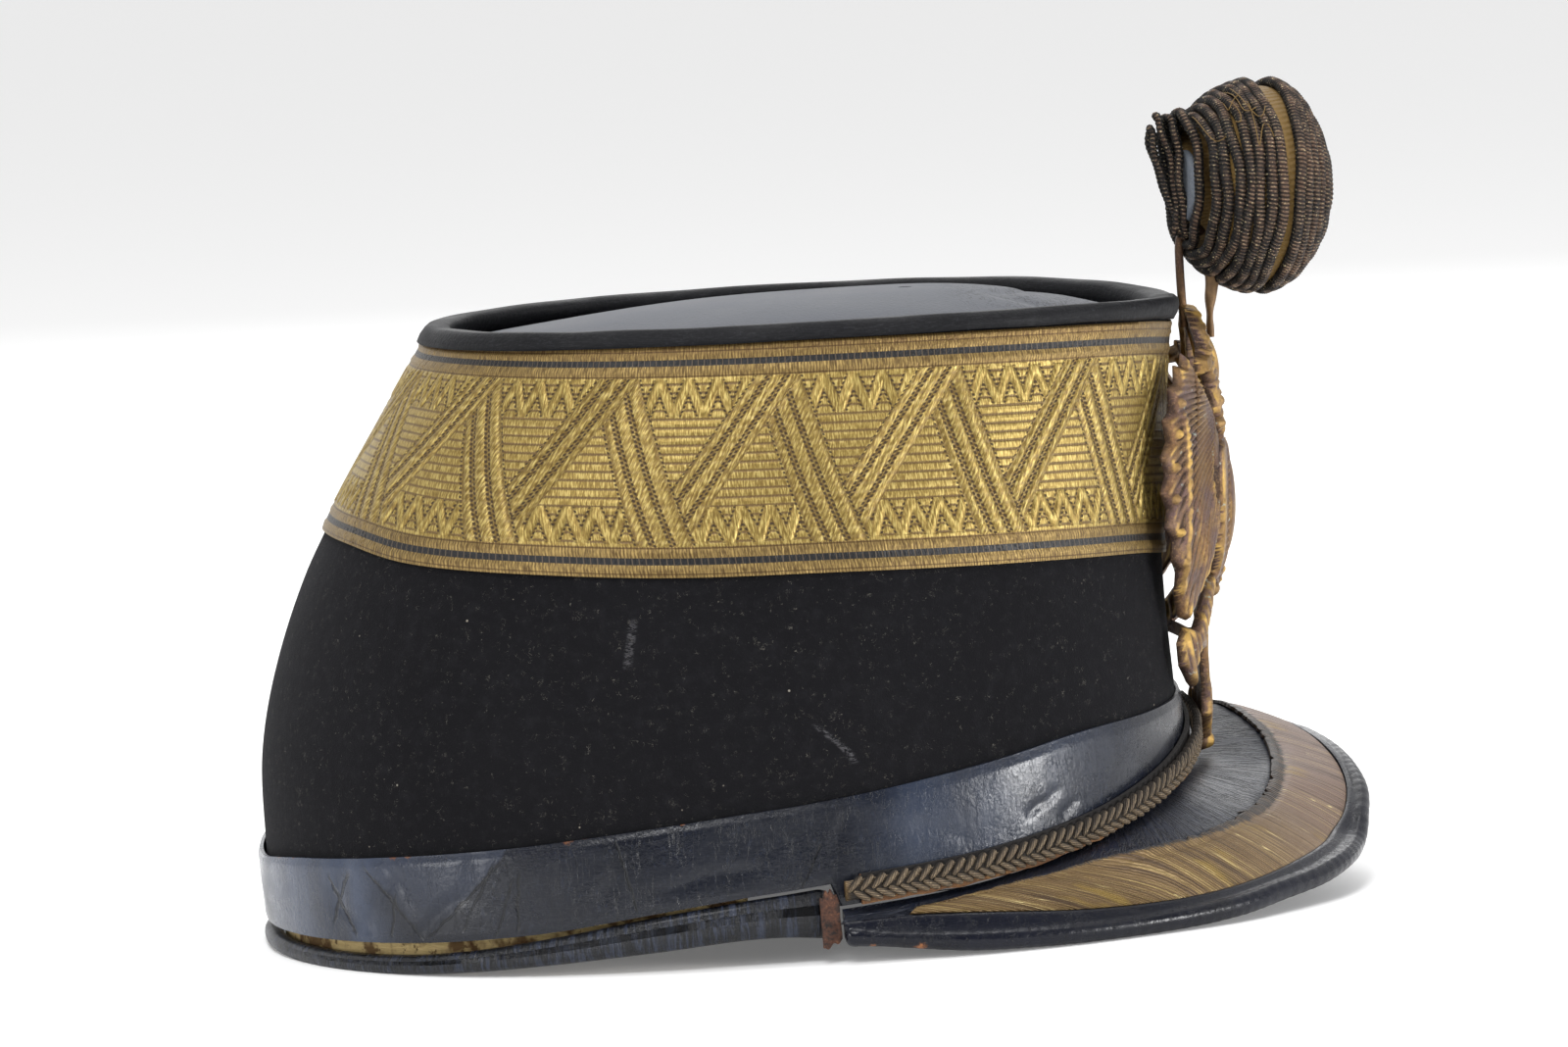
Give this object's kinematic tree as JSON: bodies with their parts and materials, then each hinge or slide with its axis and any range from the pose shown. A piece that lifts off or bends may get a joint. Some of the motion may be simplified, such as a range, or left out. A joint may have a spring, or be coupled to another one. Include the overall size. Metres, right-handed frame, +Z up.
{
  "type": "officer's shako",
  "caption": "Rigid cloth-covered military cap with leather crown, base band and visor, woven gold lace, eagle plate and a wound-cord rosette.",
  "frame": {"origin": "middle of the bounding box on the surface that the hat stands on", "axes": "+X to the front of the hat (visor and plate), +Y to the wearer's left, +Z up"},
  "size_m": [0.2428, 0.1766, 0.1763],
  "materials": {
    "body_cloth": "matt black wool cloth with lint",
    "crown_leather": "lacquered leather, worn and cracked",
    "rim_leather": "black lacquered leather",
    "gold_lace": "woven gold metal thread, tarnished",
    "band_leather": "glossy lacquered leather with creases",
    "binding_leather": "rolled wrinkled leather",
    "lining_cloth": "fibrous tan cloth, stained",
    "visor_leather": "glossy creased leather",
    "visor_thread": "embroidered metal thread, tarnished",
    "bead_leather": "black leather bead with stitches",
    "braid_thread": "twisted metal and silk thread, dull",
    "backing_leather": "raw worn leather",
    "tab_leather": "torn raw leather",
    "plate_brass": "cast and gilt, gilding worn to copper brown",
    "rosette_cord": "wound metal-thread cord, blackened",
    "rosette_felt": "grey felt disc",
    "stem_metal": "dark flat metal tongue"
  },
  "bodies": {
    "root": {"shell": "body_cloth", "crown_top": "crown_leather", "top_rim": "rim_leather", "lace_band": "gold_lace", "base_band": "band_leather", "base_binding": "binding_leather", "lining_strip": "lining_cloth", "visor": "visor_leather", "visor_lace": "visor_thread", "visor_binding": "bead_leather", "braid_cord": "braid_thread", "braid_backing": "backing_leather", "corner_tab": "tab_leather", "plate": "plate_brass", "rosette": "rosette_cord", "rosette_back": "rosette_felt", "rosette_stem": "stem_metal"}
  },
  "joints": []
}
